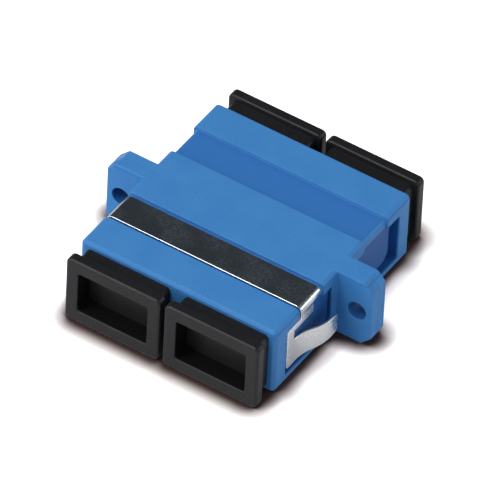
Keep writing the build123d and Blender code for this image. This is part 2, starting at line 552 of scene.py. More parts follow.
@dataclass(frozen=True)
class MouldedPlastic(Finish):
    """A moulded plastic with pigment speckle, a slow drift of colour and a fine spark-eroded grain."""

    colour: Colour
    speck_colour: Colour
    drift_colour: Colour
    roughness: float
    gloss: float = 0.5
    drift_per_mm: float = 0.22
    drift_range: Span = (0.35, 0.65)
    specks_per_mm: float = 6.0
    speck_range: Span = (0.48, 0.72)
    speck_share: float = 0.6
    sheen_per_mm: float = 0.88
    sheen_range: Span = (0.3, 0.7)
    sheen_spread: float = 0.04
    grain_per_mm: float = 11.0
    grain_depth_mm: float = 0.006
    grain_strength: float = 0.7

    def colour_of(self, graph: FinishGraph) -> Socket:
        """Mixes the pigment, its drift and its specks.

        Args:
            graph: The nodes of this finish.

        Returns:
            The colour.
        """
        drift = graph.noise(self.drift_per_mm, detail=2.0)
        drift_share = graph.ranged(drift, self.drift_range, (0.0, 1.0), smooth=True)
        pigment = graph.blended(drift_share, self.colour, self.drift_colour)
        specks = graph.noise(self.specks_per_mm, detail=4.0)
        speck_share = graph.ranged(specks, self.speck_range, (0.0, self.speck_share))
        return graph.blended(speck_share, pigment, self.speck_colour)

    def gloss_of(self, graph: FinishGraph) -> Socket | float:
        """Gives how strongly the surface mirrors."""
        return self.gloss

    def roughness_of(self, graph: FinishGraph) -> Socket:
        """Gives the roughness, which drifts a little."""
        limits = (self.roughness - self.sheen_spread, self.roughness + self.sheen_spread)
        return graph.ranged(graph.noise(self.sheen_per_mm), self.sheen_range, limits)

    def dress(self, graph: FinishGraph) -> None:
        """Feeds the colour, the gloss, the roughness and the grain.

        Args:
            graph: The nodes of this finish.
        """
        grain = graph.noise(self.grain_per_mm, detail=2.0)
        graph.join(self.colour_of(graph), graph.inputs["Base Color"])
        graph.feed(self.gloss_of(graph), graph.inputs["Specular IOR Level"])
        graph.join(self.roughness_of(graph), graph.inputs["Roughness"])
        graph.join(graph.relief(grain, self.grain_depth_mm, self.grain_strength), graph.inputs["Normal"])


@dataclass(frozen=True)
class HousingPlastic(MouldedPlastic):
    """The housing's plastic, with painted shade that deepens its colour on the clip's seat, in the side
    pockets and in the holes.
    """

    # Painted shade: the seat's floor gets a darker blue, standing for the shade in the groove.
    seat_shade_colour: Colour = (0.034, 0.166, 0.460)
    seat_roughness: float = 0.34
    seat_height_mm: Span = (8.51, 8.69)
    # Painted shade: the side pockets get a deep navy, standing for the shade in them.
    pocket_shade_colour: Colour = (0.020, 0.105, 0.330)
    pocket_x_mm: Span = (11.30, 12.50)
    pocket_reach_mm: Span = (2.10, 11.30)
    pocket_height_mm: Span = (0.90, 7.50)
    # Painted shade: the walls of the screw holes get the darkest blue, standing for the shade inside.
    hole_shade_colour: Colour = (0.014, 0.070, 0.235)
    hole_offset_mm: float = 15.35
    hole_wall_mm: Span = (1.13, 1.19)
    ease_mm: float = 0.05

    def seat_shade_and_polish_share(self, graph: FinishGraph) -> Socket:
        """Says how far a place lies on the floor of the seat, where shade is painted and the plastic is
        polished.
        """
        return graph.between(graph.z, self.seat_height_mm, self.ease_mm)

    def pocket_shade_share(self, graph: FinishGraph) -> Socket:
        """Says how far a place lies in a side pocket, where shade is painted.

        Args:
            graph: The nodes of this finish.

        Returns:
            The share, from 0 to 1.
        """
        off_middle = graph.computed("ABSOLUTE", graph.x)
        reach = graph.computed("ABSOLUTE", graph.y)
        return graph.product(
            graph.between(off_middle, self.pocket_x_mm, self.ease_mm),
            graph.between(reach, self.pocket_reach_mm, self.ease_mm),
            graph.between(graph.z, self.pocket_height_mm, self.ease_mm),
        )

    def hole_shade_share(self, graph: FinishGraph) -> Socket:
        """Says how far a place lies inside a screw hole, where shade is painted.

        Args:
            graph: The nodes of this finish.

        Returns:
            The share, from 0 to 1.
        """
        across = graph.computed("SUBTRACT", graph.computed("ABSOLUTE", graph.x), self.hole_offset_mm)
        up = graph.computed("SUBTRACT", graph.z, MID_HEIGHT_MM)
        squares = [graph.product(part, part) for part in (across, up)]
        radius = graph.computed("SQRT", graph.computed("ADD", *squares))
        return graph.ranged(radius, self.hole_wall_mm, (1.0, 0.0))

    def colour_of(self, graph: FinishGraph) -> Socket:
        """Mixes the pigment as on any moulding, then paints shade onto the seat, the pockets and the screw
        holes.

        Args:
            graph: The nodes of this finish.

        Returns:
            The colour.
        """
        # Painted shade on the seat, in the pockets and in the screw holes.
        with_seat_shade = graph.blended(self.seat_shade_and_polish_share(graph), super().colour_of(graph), self.seat_shade_colour)
        with_pocket_shade = graph.blended(self.pocket_shade_share(graph), with_seat_shade, self.pocket_shade_colour)
        return graph.blended(self.hole_shade_share(graph), with_pocket_shade, self.hole_shade_colour)

    def roughness_of(self, graph: FinishGraph) -> Socket:
        """Polishes the seat."""
        polish = graph.ranged(self.seat_shade_and_polish_share(graph), (0.0, 1.0), (0.0, self.roughness - self.seat_roughness))
        return graph.computed("SUBTRACT", super().roughness_of(graph), polish)


@dataclass(frozen=True)
class CapPlastic(MouldedPlastic):
    """The dust caps' plastic, matt, with painted shade that darkens the walls of the recess."""

    # Painted shade: the walls of the recess are painted near black, standing for the shade inside it.
    recess_shade_colour: Colour = (0.0062, 0.0063, 0.0069)
    recess_gloss: float = 0.10
    recess_half_size_mm: Span = (4.56, 2.81)
    recess_reach_mm: Span = (14.20, 16.42)
    recess_edge_mm: float = 0.01
    ease_mm: float = 0.08

    def recess_shade_share(self, graph: FinishGraph) -> Socket:
        """Says how far a place lies on a wall of the recess of its cap, where shade is painted and the shine
        is lowered.

        Args:
            graph: The nodes of this finish.

        Returns:
            The share, from 0 to 1.
        """
        off_port = graph.computed("SUBTRACT", graph.computed("ABSOLUTE", graph.x), PORT_OFFSET_MM)
        off_middle = graph.computed("SUBTRACT", graph.z, MID_HEIGHT_MM)
        inside = [
            graph.between(offset, (-half, half), self.recess_edge_mm)
            for offset, half in zip((off_port, off_middle), self.recess_half_size_mm)
        ]
        reach = graph.computed("ABSOLUTE", graph.y)
        return graph.product(graph.between(reach, self.recess_reach_mm, self.ease_mm), *inside)

    def colour_of(self, graph: FinishGraph) -> Socket:
        """Mixes the pigment as on any moulding, then paints shade onto the walls of the recess."""
        return graph.blended(self.recess_shade_share(graph), super().colour_of(graph), self.recess_shade_colour)

    def gloss_of(self, graph: FinishGraph) -> Socket:
        """Takes the shine off the walls of the recess."""
        return graph.ranged(self.recess_shade_share(graph), (0.0, 1.0), (self.gloss, self.recess_gloss))


@dataclass(frozen=True)
class SpringSteel(Finish):
    """Rolled spring steel, mirror bright on the strap with cloudy handling marks, and satin on its sides,
    whose lighter colour is painted light.
    """

    colour: Colour
    clouded_colour: Colour
    # Painted light: the sides and the tongue get a lighter steel than the strap, standing for the light they
    # catch.
    lit_side_colour: Colour
    strap_roughness: Span
    side_roughness: Span
    strap_foot_mm: Span = (7.4, 8.0)
    clouds_per_mm: float = 3.6
    cloud_range: Span = (0.32, 0.70)
    cloud_haze: float = 0.65
    patches_per_mm: float = 0.26
    patch_range: Span = (0.36, 0.60)
    patch_share: Span = (0.25, 1.0)
    grain_per_mm: float = 9.0
    grain_haze: float = 0.35
    haze_range: Span = (0.1, 0.75)
    lines_per_mm: float = 14.0
    line_stretch: Place = (0.06, 1.0, 1.0)
    line_depth_mm: float = 0.0006
    line_strength: float = 0.35
    waves_per_mm: float = 0.35
    wave_depth_mm: float = 0.006
    wave_strength: float = 0.2

    def clouds(self, graph: FinishGraph) -> Socket:
        """Makes the clouds, which gather in patches.

        Args:
            graph: The nodes of this finish.

        Returns:
            How clouded a place is, from 0 to 1.
        """
        patches = graph.noise(self.patches_per_mm)
        blots = graph.noise(self.clouds_per_mm, detail=4.0)
        return graph.product(
            graph.ranged(blots, self.cloud_range, (0.0, 1.0)),
            graph.ranged(patches, self.patch_range, self.patch_share, smooth=True),
        )

    def surface(self, graph: FinishGraph) -> Socket:
        """Makes the rolling lines, which lie on faint waves of the sheet.

        Args:
            graph: The nodes of this finish.

        Returns:
            The surface's normal.
        """
        waves = graph.noise(self.waves_per_mm, detail=1.0)
        lines = graph.noise(self.lines_per_mm, detail=2.0, place=graph.stretched(self.line_stretch))
        below = graph.relief(waves, self.wave_depth_mm, self.wave_strength)
        return graph.relief(lines, self.line_depth_mm, self.line_strength, below)

    def dress(self, graph: FinishGraph) -> None:
        """Feeds the metal's colour, its roughness and its relief.

        Args:
            graph: The nodes of this finish.
        """
        clouds = self.clouds(graph)
        on_side = graph.ranged(graph.z, self.strap_foot_mm, (1.0, 0.0), smooth=True)
        strap_colour = graph.blended(clouds, self.colour, self.clouded_colour)
        grain = graph.product(graph.noise(self.grain_per_mm), self.grain_haze)
        haze = graph.computed("ADD", graph.product(clouds, self.cloud_haze), grain)
        on_strap = graph.ranged(haze, self.haze_range, self.strap_roughness)
        down_side = graph.ranged(haze, (0.0, 1.0), self.side_roughness)
        roughness = graph.blended(on_side, on_strap, down_side, data="FLOAT", kind="VALUE")
        graph.feed(1.0, graph.inputs["Metallic"])
        # Painted light: the sides get the lighter steel colour.
        graph.join(graph.blended(on_side, strap_colour, self.lit_side_colour), graph.inputs["Base Color"])
        graph.join(roughness, graph.inputs["Roughness"])
        graph.join(self.surface(graph), graph.inputs["Normal"])


@dataclass(frozen=True)
class PolishedCeramic(Finish):
    """White zirconia, lapped to a shine, with a faint cloudiness."""

    colour: Colour
    clouded_colour: Colour
    roughness: Span = (0.1, 0.18)
    clouds_per_mm: float = 0.9
    cloud_range: Span = (0.35, 0.65)
    lapping_per_mm: float = 20.0
    lapping_depth_mm: float = 0.001
    lapping_strength: float = 0.4

    def dress(self, graph: FinishGraph) -> None:
        """Feeds the colour, the roughness and the marks of lapping.

        Args:
            graph: The nodes of this finish.
        """
        clouds = graph.ranged(graph.noise(self.clouds_per_mm, detail=4.0), self.cloud_range, (0.0, 1.0))
        marks = graph.noise(self.lapping_per_mm, detail=2.0)
        graph.join(graph.blended(clouds, self.colour, self.clouded_colour), graph.inputs["Base Color"])
        graph.join(graph.ranged(clouds, (0.0, 1.0), self.roughness), graph.inputs["Roughness"])
        graph.join(graph.relief(marks, self.lapping_depth_mm, self.lapping_strength), graph.inputs["Normal"])


HOUSING_BLUE = HousingPlastic(
    "housing_blue", colour=(0.051, 0.221, 0.528), speck_colour=(0.072, 0.262, 0.585),
    drift_colour=(0.044, 0.208, 0.510), roughness=0.38, gloss=0.14,
)
CLIP_STEEL = SpringSteel(
    "clip_steel", colour=(0.45, 0.47, 0.49), clouded_colour=(0.70, 0.78, 0.81),
    lit_side_colour=(0.78, 0.78, 0.78), strap_roughness=(0.13, 0.25), side_roughness=(0.22, 0.38),
)
LATCH_PLASTIC = MouldedPlastic(
    "latch_plastic", colour=(0.66, 0.64, 0.57), speck_colour=(0.72, 0.70, 0.64),
    drift_colour=(0.61, 0.585, 0.51), roughness=0.40,
)
SLEEVE_CERAMIC = PolishedCeramic(
    "sleeve_ceramic", colour=(0.80, 0.80, 0.78), clouded_colour=(0.74, 0.74, 0.71),
)
CAP_BLACK = CapPlastic(
    "cap_black", colour=(0.0115, 0.0116, 0.0126), speck_colour=(0.021, 0.021, 0.022),
    drift_colour=(0.0098, 0.0100, 0.0110), roughness=0.40, gloss=0.28, specks_per_mm=5.0, grain_per_mm=8.0,
)


@dataclass
class MadePiece:
    """A finished piece with what it stands for and what it rides on."""

    piece: bpy.types.Object
    node: str
    body: str
    slot: str

    def place(self, material: bpy.types.Material) -> None:
        """Dresses the piece, hides the node that it stands for and lets it ride.

        Args:
            material: The finish of the whole piece.
        """
        self.piece.data.materials.clear()
        self.piece.data.materials.append(material)
        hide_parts(self.node)
        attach(self.piece, self.body)
        log.info("%s stands for %s, %d faces", self.piece.name, self.node, len(self.piece.data.polygons))


@dataclass
class Housing:
    """The two welded housing halves, with the soft edges that a mould leaves."""

    edge_radius: float = 0.11 * MM
    segments: int = 3
    sharp_deg: float = 32.0
    seam_half_width: float = 0.12 * MM
    port_offset: float = PORT_OFFSET_MM * MM
    front_reach: float = 13.5 * MM
    lip_step: float = 0.12 * MM
    lip_half_width: float = 3.9 * MM
    upper_lip: float = 8.1 * MM
    upper_lip_edge: float = 8.65 * MM
    lower_lip: float = 0.9 * MM

    def over_port(self, place: Vector) -> bool:
        """Says whether a place lies across the middle of a port, near the housing's front."""
        near_front = abs(place.y) > self.front_reach - 2 * self.lip_step
        return near_front and abs(abs(place.x) - self.port_offset) < self.lip_half_width

    def on_upper_step(self, vertex: bmesh.types.BMVert) -> bool:
        """Says whether a corner lies on the shallow step in the lip over a port."""
        set_back = abs(vertex.co.y) < self.front_reach - self.lip_step / 2
        return self.over_port(vertex.co) and vertex.co.z > self.upper_lip and set_back

    def on_step_top(self, vertex: bmesh.types.BMVert) -> bool:
        """Says whether a corner lies on the top end of that step."""
        return self.over_port(vertex.co) and vertex.co.z > self.upper_lip_edge

    def level_upper_lips(self, bench: Bench, end: End) -> None:
        """Brings the step over each port out flush with the housing's front face.

        Args:
            bench: The bench with a housing half on it.
            end: Which half it is.
        """
        with bench.opened():
            bench.pick(Element.VERT, self.on_upper_step)
            bench.shift(Vector((0.0, end.value * self.lip_step, 0.0)))
            bench.pick(Element.VERT, self.on_step_top)
            bench.shift(Vector((0.0, 0.0, -self.lip_step)))
            bench.merge_flats()

    def rounded(self, edge: bmesh.types.BMEdge) -> bool:
        """Says whether the mould rounds an edge: not on the seam, nor on the thin lip under a port.

        Args:
            edge: The edge.

        Returns:
            Whether it is rounded.
        """
        on_seam = any(abs(vertex.co.y) < self.seam_half_width for vertex in edge.verts)
        on_lip = all(self.over_port(vertex.co) and vertex.co.z < self.lower_lip for vertex in edge.verts)
        return not on_seam and not on_lip

    def build(self, finish: HousingPlastic) -> None:
        """Builds both halves.

        Args:
            finish: The plastic that both are moulded in.
        """
        material = finish.build()
        for end in End:
            name = f"{end.word}_housing"
            bench = Bench.from_node(f"moulded_{name}", name)
            self.level_upper_lips(bench, end)
            bench.soften(self.edge_radius, self.segments, self.sharp_deg, self.rounded)
            bench.even_shading()
            MadePiece(bench.piece, name, ADAPTER_BODY, finish.name).place(material)


@dataclass
class PanelClip:
    """The clip of spring steel, bent up from half a sheet and mirrored: strap, tab, band, leg and tongue.

    Every place is on the middle of the sheet. A reach is a distance from the parting plane to the front.
    """

    sheet: float = 0.3 * MM
    side_x: float = 12.55 * MM
    top_z: float = 8.77 * MM
    bend_radius: float = 0.70 * MM
    bend_steps: int = 10
    strap_near: float = 4.5 * MM
    strap_far: float = 8.45 * MM
    tab_near: float = 5.95 * MM
    band_top: float = 7.35 * MM
    band_bottom: float = 6.57 * MM
    leg_near: float = 9.70 * MM
    leg_far: float = 11.05 * MM
    foot: float = 1.75 * MM
    leg_corner: float = 0.35 * MM
    tongue_root_top: float = 5.3 * MM
    tongue_tip_top: float = 5.05 * MM
    tongue_tip_bottom: float = 2.5 * MM
    tongue_tip_reach: float = 3.3 * MM
    tongue_straight: float = 0.8 * MM
    tongue_bulge: float = 1.5 * MM
    tongue_corner: float = 0.3 * MM
    bow_steps: int = 8
    corner_segments: int = 5
    edge_radius: float = 0.10 * MM
    edge_segments: int = 4
    sharp_deg: float = 60.0

    def on_side(self, reach: float, height: float) -> Vector:
        """Gives a place on the flat side of the sheet."""
        return Vector((self.side_x, -reach, height))

    def bow(self) -> list[Span]:
        """Works out the tongue's S-shaped bow.

        Returns:
            The X and the reach of each step from the leg to the tip.
        """
        half_bulge = self.tongue_bulge / 2
        half_length = (self.leg_near - self.tongue_tip_reach - self.tongue_straight) / 2
        radius = (half_bulge ** 2 + half_length ** 2) / (2 * half_bulge)
        sweep = 2 * math.atan2(half_bulge, half_length)
        angles = [sweep * step / self.bow_steps for step in range(1, self.bow_steps + 1)]
        crest_x = self.side_x + self.tongue_bulge
        crest_reach = self.tongue_tip_reach + self.tongue_straight
        rising = [
            (self.side_x + radius * (1 - math.cos(angle)), self.leg_near - radius * math.sin(angle))
            for angle in angles
        ]
        levelling = [
            (crest_x - radius * (1 - math.cos(angle)), crest_reach + radius * math.sin(angle))
            for angle in [*angles[-2::-1], 0.0]
        ]
        return [*rising, *levelling, (crest_x, self.tongue_tip_reach)]

    def bend_strap(self, bench: Bench) -> None:
        """Parts the strap beside the tab and bends its end down.

        Args:
            bench: The bench with the piece on it.
        """
        bpy.ops.mesh.select_all(action="SELECT")
        bpy.ops.mesh.bisect(plane_co=(0.0, -self.tab_near, self.top_z), plane_no=(0.0, 1.0, 0.0))
        end_x = self.side_x - self.bend_radius

        def at_end(edge: bmesh.types.BMEdge) -> bool:
            """Says whether an edge lies on the end of the half strap."""
            return all(abs(vertex.co.x - end_x) < WELD_DISTANCE for vertex in edge.verts)

        bench.pick(Element.EDGE, at_end)
        bpy.ops.mesh.spin(
            steps=self.bend_steps, angle=math.radians(90.0),
            center=(end_x, 0.0, self.top_z - self.bend_radius), axis=(0.0, -1.0, 0.0),
        )

    def draw_down(self, bench: Bench, *heights: float) -> None:
        """Extrudes the picked edge from the first height to each of the next."""
        for height, next_height in pairwise(heights):
            bench.extrude(Vector((0.0, 0.0, next_height - height)))

    def draw_forward(self, bench: Bench, *reaches: float) -> None:
        """Extrudes the picked edge from the first reach to each of the next."""
        for reach, next_reach in pairwise(reaches):
            bench.extrude(Vector((0.0, reach - next_reach, 0.0)))

    def draw_side(self, bench: Bench) -> None:
        """Draws the tab, the band and the leg out of the bent end.

        Args:
            bench: The bench with the piece on it.
        """
        bend_end = self.top_z - self.bend_radius
        bench.pick_edge(self.on_side(self.tab_near, bend_end), self.on_side(self.strap_far, bend_end))
        self.draw_down(bench, bend_end, self.band_top, self.band_bottom)
        band_end = [self.on_side(self.strap_far, height) for height in (self.band_top, self.band_bottom)]
        bench.pick_edge(*band_end)
        self.draw_forward(bench, self.strap_far, self.leg_near, self.leg_far)
        leg_top = [self.on_side(reach, self.band_bottom) for reach in (self.leg_near, self.leg_far)]
        bench.pick_edge(*leg_top)
        self.draw_down(bench, self.band_bottom, self.tongue_root_top, self.foot)

    def draw_tongue(self, bench: Bench) -> None:
        """Draws the tongue out of the leg step by step, narrower towards its tip.

        Args:
            bench: The bench with the piece on it.
        """
        root = [self.on_side(self.leg_near, height) for height in (self.tongue_root_top, self.foot)]
        bench.pick_edge(*root)
        last = self.on_side(self.leg_near, (self.tongue_root_top + self.foot) / 2)
        last_height = self.tongue_root_top - self.foot
        for x, reach in self.bow():
            share = (self.leg_near - reach) / (self.leg_near - self.tongue_tip_reach)
            top = self.tongue_root_top + share * (self.tongue_tip_top - self.tongue_root_top)
            bottom = self.foot + share * (self.tongue_tip_bottom - self.foot)
            place = Vector((x, -reach, (top + bottom) / 2))
            bench.extrude(place - last)
            bench.resize(Vector((1.0, 1.0, (top - bottom) / last_height)), place)
            last, last_height = place, top - bottom

    def round_corners(self, bench: Bench) -> None:
        """Rounds the tongue's tip and the leg's outer corner.

        Args:
            bench: The bench with the piece on it.
        """
        tip_x, tip_y = self.side_x + self.tongue_bulge, -self.tongue_tip_reach
        tips = [Vector((tip_x, tip_y, z)) for z in (self.tongue_tip_top, self.tongue_tip_bottom)]
        heel = self.on_side(self.leg_far, self.foot)
        for corners, radius in ((tips, self.tongue_corner), ([heel], self.leg_corner)):
            bench.pick(Element.VERT, lambda vertex: any(
                (vertex.co - corner).length < WELD_DISTANCE for corner in corners
            ))
            bench.round_picked(radius, self.corner_segments, affect="VERTICES")

    def build(self, finish: SpringSteel) -> None:
        """Builds the clip.

        Args:
            finish: The steel that it is stamped from.
        """
        bench = Bench.from_sheet(
            "bent_clip", Vector((0.0, -self.strap_far, self.top_z)),
            Vector((self.side_x - self.bend_radius, -self.strap_near, self.top_z)),
        )
        with bench.opened():
            self.bend_strap(bench)
            self.draw_side(bench)
            self.draw_tongue(bench)
            self.round_corners(bench)
        bench.apply("MIRROR", use_axis=(True, False, False), merge_threshold=WELD_DISTANCE)
        bench.apply("SOLIDIFY", thickness=self.sheet, offset=0.0, use_even_offset=True)
        with bench.opened():
            bpy.ops.mesh.select_all(action="SELECT")
            bpy.ops.mesh.normals_make_consistent(inside=False)
        bench.soften(self.edge_radius, self.edge_segments, self.sharp_deg)
        bench.even_shading()
        MadePiece(bench.piece, "mounting_clip", ADAPTER_BODY, finish.name).place(finish.build())


@dataclass
class InnerParts:
    """The four inner latches and the two split sleeves, seen once the caps are off."""

    edge_radius: float = 0.06 * MM
    segments: int = 2
    sharp_deg: float = 32.0

    def soften_node(self, node: str, slot: str, material: bpy.types.Material) -> None:
        """Makes the finished form of one inner piece.

        Args:
            node: The piece's construction node.
            slot: The record's slot for its finish.
            material: The finish.
        """
        bench = Bench.from_node(f"finished_{node}", node)
        bench.soften(self.edge_radius, self.segments, self.sharp_deg)
        bench.even_shading()
        MadePiece(bench.piece, node, ADAPTER_BODY, slot).place(material)

    def build(self, plastic: MouldedPlastic, ceramic: PolishedCeramic) -> None:
        """Builds all six pieces.

        Args:
            plastic: The finish of the latches.
            ceramic: The finish of the sleeves.
        """
        latch_material = plastic.build()
        sleeve_material = ceramic.build()
        for side in Side:
            self.soften_node(f"sleeve_{side.value}", ceramic.name, sleeve_material)
            for end in End:
                self.soften_node(f"{end.word}_latch_{side.value}", plastic.name, latch_material)


@dataclass
class DustCap:
    """One soft plastic dust cap: rim, recess, shoulder and hollow plug in one moulding.

    A depth is a distance behind the cap's outer face. A size is a width and a height.
    """

    end: End
    side: Side
    rim_thickness: float = 1.3 * MM
    rim_corner: float = 0.7 * MM
    rim_front_round: float = 0.3 * MM
    rim_back_round: float = 0.22 * MM
    window: Span = (9.0 * MM, 5.5 * MM)
    window_depth: float = 2.45 * MM
    window_corner: float = 0.35 * MM
    window_round: float = 0.2 * MM
    shoulder: Span = (10.85 * MM, 7.6 * MM)
    shoulder_length: float = 1.8 * MM
    shoulder_corner: float = 0.6 * MM
    plug: Span = (8.9 * MM, 7.3 * MM)
    plug_corner: float = 0.35 * MM
    plug_nose_round: float = 0.28 * MM
    plug_wall: float = 0.9 * MM
    floor: float = 0.9 * MM
    ring_slack: float = 0.02 * MM
    facing_cosine: float = 0.9
    lowest: Vector = field(init=False)
    highest: Vector = field(init=False)

    def __post_init__(self) -> None:
        """Takes the cap's place from its construction node."""
        self.lowest, self.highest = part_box(self.node)

    @property
    def node(self) -> str:
        """The name of the cap's construction node."""
        return f"{self.end.word}_cap_{self.side.value}"

    @property
    def centre(self) -> Vector:
        """The middle of the cap."""
        return (self.lowest + self.highest) / 2

    @property
    def rim(self) -> Span:
        """The size of the rim."""
        return self.highest.x - self.lowest.x, self.highest.z - self.lowest.z

    @property
    def hollow(self) -> Span:
        """The size of the hollow in the plug."""
        return self.plug[0] - 2 * self.plug_wall, self.plug[1] - 2 * self.plug_wall

    @property
    def length(self) -> float:
        """The length of the cap along Y."""
        return self.highest.y - self.lowest.y

    def at_depth(self, depth: float) -> float:
        """Gives the Y of a depth."""
        face_y = self.lowest.y if self.end is End.FRONT else self.highest.y
        return face_y - self.end.value * depth

    def face_at(self, depth: float, facing_out: bool) -> FaceTest:
        """Gives a test for the innermost face across Y at a depth.

        Args:
            depth: Where it lies.
            facing_out: Whether it faces out of the adapter.

        Returns:
            The test.
        """
        way = self.end.value if facing_out else -self.end.value

        def test(face: bmesh.types.BMFace) -> bool:
            """Says whether a face is the wanted one.

            Args:
                face: The face.

            Returns:
                Whether it is.
            """
            centre = face.calc_center_median()
            offsets = (centre.x - self.centre.x, centre.y - self.at_depth(depth), centre.z - self.centre.z)
            in_place = all(abs(offset) < WELD_DISTANCE for offset in offsets)
            return in_place and face.normal.y * way > self.facing_cosine

        return test

    def edges_along(self, size: Span) -> EdgeTest:
        """Gives a test for the edges along Y at the corners of a rectangle about the middle.

        Args:
            size: The rectangle's size.

        Returns:
            The test.
        """
        def test(edge: bmesh.types.BMEdge) -> bool:
            """Says whether an edge runs along Y through a corner.

            Args:
                edge: The edge.

            Returns:
                Whether it does.
            """
            first, second = (vertex.co for vertex in edge.verts)
            along = abs(first.x - second.x) + abs(first.z - second.z) < WELD_DISTANCE
            off_x = abs(abs(first.x - self.centre.x) - size[0] / 2)
            off_z = abs(abs(first.z - self.centre.z) - size[1] / 2)
            return along and off_x + off_z < WELD_DISTANCE * 2

        return test

    def ring_at(self, depth: float, size: Span, corner: float) -> EdgeTest:
        """Gives a test for the edges of a rounded rectangle at a depth.

        Args:
            depth: Where the ring lies.
            size: The rectangle's size.
            corner: The radius of its corners.

        Returns:
            The test.
        """
        half_x, half_z = size[0] / 2, size[1] / 2

        def off_ring(place: Vector) -> float:
            """Gives how far a point lies from the rounded rectangle.

            Args:
                place: The point.

            Returns:
                The distance.
            """
            beyond_x = max(abs(place.x - self.centre.x) - (half_x - corner), 0.0)
            beyond_z = max(abs(place.z - self.centre.z) - (half_z - corner), 0.0)
            return abs(math.hypot(beyond_x, beyond_z) - corner)

        def test(edge: bmesh.types.BMEdge) -> bool:
            """Says whether an edge lies on the ring."""
            level = all(abs(vertex.co.y - self.at_depth(depth)) < WELD_DISTANCE for vertex in edge.verts)
            return level and all(off_ring(vertex.co) < self.ring_slack for vertex in edge.verts)

        return test

    def rim_block(self) -> Bench:
        """Starts the cap from a block the size of its rim.

        Returns:
            The bench with the block on it.
        """
        near_y, far_y = sorted((self.at_depth(0.0), self.at_depth(self.rim_thickness)))
        return Bench.from_block(
            f"moulded_{self.node}", Vector((self.lowest.x, near_y, self.lowest.z)),
            Vector((self.highest.x, far_y, self.highest.z)),
        )

    def draw_steps(self, bench: Bench) -> None:
        """Draws the recess, the shoulder, the plug and its hollow, each from a narrowed face.

        Args:
            bench: The bench with the piece on it.
        """
        shoulder_depth = self.rim_thickness + self.shoulder_length
        hollow_depth = self.length - self.window_depth - self.floor
        for depth, facing_out, old, new, inward_travel in (
            (0.0, True, self.rim, self.window, self.window_depth),
            (self.rim_thickness, False, self.rim, self.shoulder, self.shoulder_length),
            (shoulder_depth, False, self.shoulder, self.plug, self.length - shoulder_depth),
            (self.length, False, self.plug, self.hollow, -hollow_depth),
        ):
            bench.pick(Element.FACE, self.face_at(depth, facing_out))
            bench.extrude(Vector((0.0, 0.0, 0.0)))
            bench.resize(Vector((new[0] / old[0], 1.0, new[1] / old[1])), self.centre)
            bench.extrude(Vector((0.0, -self.end.value * inward_travel, 0.0)))

    def round_steps(self, bench: Bench) -> None:
        """Rounds the corners of each step, then the edges of the rim, the recess and the plug's nose.

        Args:
            bench: The bench with the piece on it.
        """
        for size, radius, segments in (
            (self.rim, self.rim_corner, 6), (self.window, self.window_corner, 4),
            (self.shoulder, self.shoulder_corner, 5), (self.plug, self.plug_corner, 3),
            (self.hollow, self.window_corner, 3),
        ):
            bench.pick(Element.EDGE, self.edges_along(size))
            bench.round_picked(radius, segments)
        for depth, size, corner, radius, segments in (
            (0.0, self.rim, self.rim_corner, self.rim_front_round, 4),
            (self.rim_thickness, self.rim, self.rim_corner, self.rim_back_round, 3),
            (0.0, self.window, self.window_corner, self.window_round, 3),
            (self.length, self.plug, self.plug_corner, self.plug_nose_round, 2),
        ):
            bench.pick(Element.EDGE, self.ring_at(depth, size, corner))
            bench.round_picked(radius, segments)

    def build(self, finish: CapPlastic, material: bpy.types.Material) -> None:
        """Builds the cap.

        Args:
            finish: The plastic that it is moulded in.
            material: That finish as a material.
        """
        bench = self.rim_block()
        with bench.opened():
            self.draw_steps(bench)
            self.round_steps(bench)
        bench.even_shading()
        MadePiece(bench.piece, self.node, self.node, finish.name).place(material)


@dataclass
class Table:
    """The pale table top, white but for a brown contact shadow that follows whatever stands on it."""

    side: float = 3.0
    clearance: float = 0.02 * MM
    shade_reach: float = 2.6 * MM
    shade_samples: int = 32
    shade_falloff: float = 2.0
    open_sky: Span = (0.53, 1.0)
    near_colour: Colour = (0.062, 0.038, 0.034)
    edge_glow_colour: Colour = (1.0, 0.80, 0.76)
    far_colour: Colour = (0.84, 0.84, 0.84)
    far_glow: float = 0.75
    roughness: float = 0.9
    gloss: float = 0.05

    def build(self, foot: float) -> None:
        """Builds the table top.

        Args:
            foot: The height of the adapter's lowest point in metres.
        """
        clear_selection()
        bpy.ops.mesh.primitive_plane_add(size=self.side, location=(0.0, 0.0, foot - self.clearance))
        top = bpy.context.active_object
        top.name = "table_top"
        bpy.ops.object.transform_apply(location=True, rotation=False, scale=False)
        top.data.materials.append(self.surface())
        top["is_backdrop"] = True

    def surface(self) -> bpy.types.Material:
        """Makes the table's surface, shaded beside what stands on it and white further off.

        Returns:
            The material.
        """
        graph = FinishGraph("table_white")
        shelter = graph.add("ShaderNodeAmbientOcclusion")
        shelter.samples = self.shade_samples
        shelter.inputs["Distance"].default_value = self.shade_reach
        clear = graph.ranged(shelter.outputs["AO"], self.open_sky, (0.0, 1.0))
        far = graph.computed("POWER", clear, self.shade_falloff)
        rays = graph.add("ShaderNodeLightPath").outputs
        seen = graph.computed("MAXIMUM", rays["Is Camera Ray"], rays["Is Transmission Ray"])
        paleness = graph.computed("MAXIMUM", far, graph.computed("SUBTRACT", 1.0, seen))
        glow_colour = graph.blended(far, self.edge_glow_colour, WHITE)
        graph.join(graph.blended(paleness, self.near_colour, self.far_colour), graph.inputs["Base Color"])
        graph.feed(self.roughness, graph.inputs["Roughness"])
        graph.feed(self.gloss, graph.inputs["Specular IOR Level"])
        graph.join(glow_colour, graph.inputs["Emission Color"])
        graph.join(graph.product(far, self.far_glow, seen), graph.inputs["Emission Strength"])
        return graph.material


